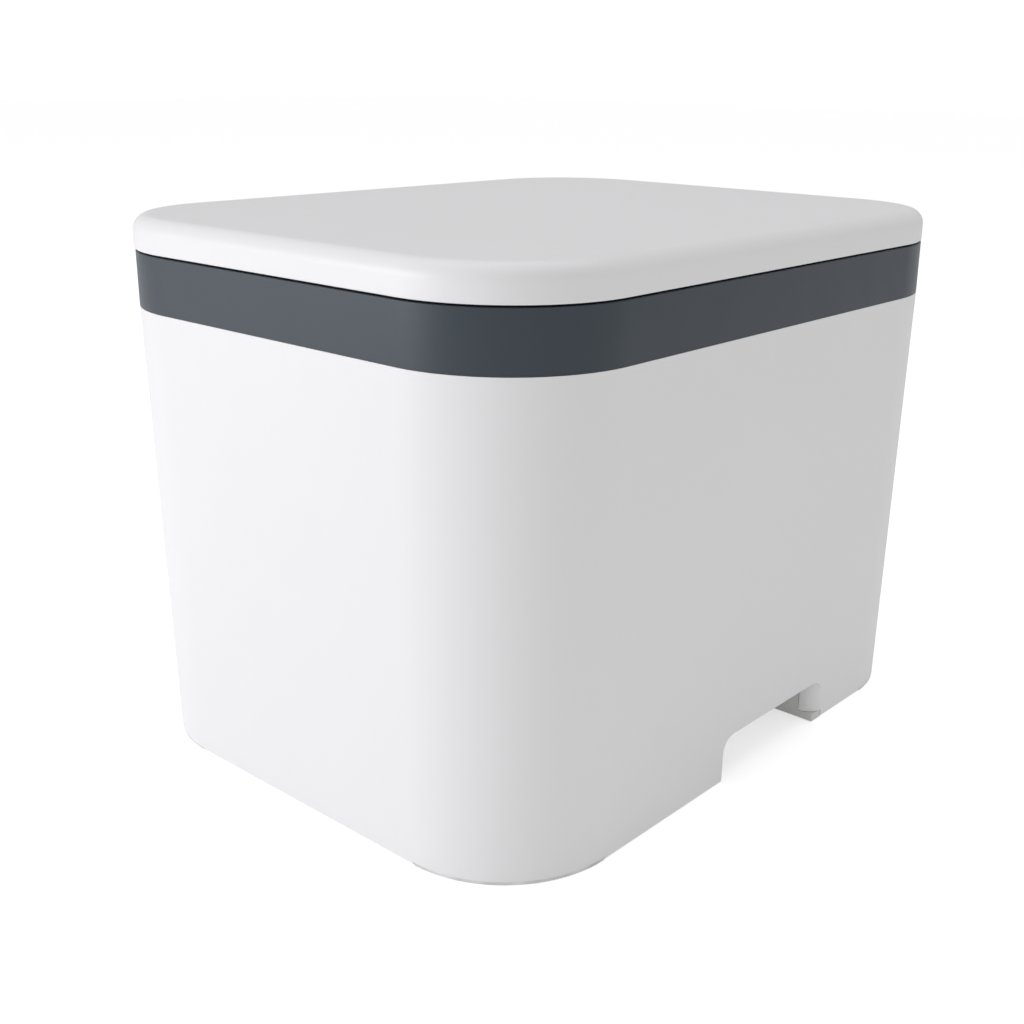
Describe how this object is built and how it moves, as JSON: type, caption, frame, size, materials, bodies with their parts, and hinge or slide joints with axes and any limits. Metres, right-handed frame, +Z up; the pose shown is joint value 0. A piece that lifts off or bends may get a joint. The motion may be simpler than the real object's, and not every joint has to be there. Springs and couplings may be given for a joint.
{
  "type": "trash compactor",
  "caption": "Small household trash compactor: tapered white case with a dark band, lift-out bin, and a hinged lid that carries a motor-driven scissor press.",
  "frame": {"origin": "centre of the footprint, on the floor under the feet", "axes": "+Z up, -Y towards the front, +X to the right as seen from the front"},
  "size_m": [0.32, 0.404, 0.301],
  "materials": {
    "case_white": "satin moulded",
    "band_slate": "satin",
    "tray_grey": "matte moulded",
    "bin_grey": "fine texture",
    "liner_grey": "fine texture",
    "foot_grey": "soft",
    "seal_dark": "soft",
    "black_plastic": "moulded",
    "board_green": "solder mask",
    "component": "moulded",
    "winding": "taped winding",
    "zinc_steel": "zinc plated",
    "bright_steel": "ground",
    "cast_alloy": "cast and blasted",
    "acetal": "waxy",
    "sintered": "sintered",
    "cable_black": "sleeved"
  },
  "bodies": {
    "body": {"outer_shell": "case_white", "collar_ring": "band_slate", "base_tray": "tray_grey", "base_deck": "tray_grey", "corner_feet": "foot_grey", "base_screws": "zinc_steel", "deck_screws": "zinc_steel", "inner_bin": "bin_grey", "hinge_brackets": "zinc_steel", "hinge_pins": "bright_steel", "hinge_screws": "zinc_steel", "strike_plate": "zinc_steel", "strike_screws": "zinc_steel", "power_inlet": "black_plastic", "switch_housing": "black_plastic", "power_board": "board_green", "transformer": "winding", "capacitors": "component", "body_loom": "cable_black", "lid_sensor": "black_plastic"},
    "rocker": {"rocker_button": "black_plastic"},
    "lid": {"lid_cover": "case_white", "lid_gasket": "seal_dark", "lid_liner": "liner_grey", "liner_screws": "zinc_steel", "press_frame": "zinc_steel", "frame_screws": "zinc_steel", "hinge_leaves": "zinc_steel", "leaf_screws": "zinc_steel", "gear_motor": "zinc_steel", "motor_bracket": "zinc_steel", "shaft_bearings": "sintered", "control_board": "board_green", "touch_board": "board_green", "lock_solenoid": "zinc_steel", "lid_magnet": "bright_steel", "lid_loom": "cable_black", "limit_switches": "black_plastic", "lock_spring": "bright_steel"},
    "bolt": {"lock_bolt": "bright_steel"},
    "lift_arms": {"sector_arms": "zinc_steel", "pivot_shaft": "bright_steel", "lower_slide_pins": "bright_steel", "lower_bushes": "acetal"},
    "cross_links": {"cross_arms": "zinc_steel", "upper_slide_pins": "bright_steel", "upper_bushes": "acetal", "centre_pins": "bright_steel"},
    "press": {"press_plate": "cast_alloy", "pivot_lugs": "zinc_steel", "slide_brackets": "zinc_steel", "lug_pins": "bright_steel", "plate_screws": "zinc_steel"},
    "drive": {"drive_shaft": "bright_steel", "drive_pinions": "bright_steel", "shaft_gear": "acetal"},
    "motor_output": {"motor_gear": "sintered"}
  },
  "joints": [
    {"name": "rocker_tilt", "type": "hinge", "parent": "body", "child": "rocker", "pos_m": [0.08, 0.19434, 0.016], "axis": [-1, 0, 0], "range_deg": [0, 18]},
    {"name": "lid_hinge", "type": "hinge", "parent": "body", "child": "lid", "pos_m": [0, 0.198, 0.2825], "axis": [-1, 0, 0], "range_deg": [0, 85]},
    {"name": "bolt_slide", "type": "slide", "parent": "lid", "child": "bolt", "axis": [0, -1, 0], "range_m": [0, 0.008], "stiffness_N_per_m": 150, "springref_m": -0.006, "deforming": ["lock_spring"]},
    {"name": "press_lift", "type": "hinge", "parent": "lid", "child": "lift_arms", "pos_m": [0, 0.08, 0.268], "axis": [1, 0, 0], "range_deg": [0, 40]},
    {"name": "scissor_centre", "type": "hinge", "parent": "lift_arms", "child": "cross_links", "pos_m": [0, -0.03157, 0.25824], "axis": [1, 0, 0], "range_deg": [-80, 0]},
    {"name": "press_pivot", "type": "hinge", "parent": "cross_links", "child": "press", "pos_m": [0, 0.08, 0.24848], "axis": [1, 0, 0], "range_deg": [0, 40]},
    {"name": "drive_spin", "type": "hinge", "parent": "lid", "child": "drive", "pos_m": [0, 0.126, 0.268], "axis": [1, 0, 0], "range_deg": [-113.5, 0]},
    {"name": "motor_spin", "type": "hinge", "parent": "lid", "child": "motor_output", "pos_m": [0.05, 0.154, 0.268], "axis": [1, 0, 0], "range_deg": [0, 284]}
  ],
  "couplings": [
    {"joint": "scissor_centre", "follows": "press_lift", "ratio": -2},
    {"joint": "press_pivot", "follows": "press_lift", "ratio": 1},
    {"joint": "drive_spin", "follows": "press_lift", "ratio": -2.8333},
    {"joint": "motor_spin", "follows": "press_lift", "ratio": 7.0833}
  ]
}
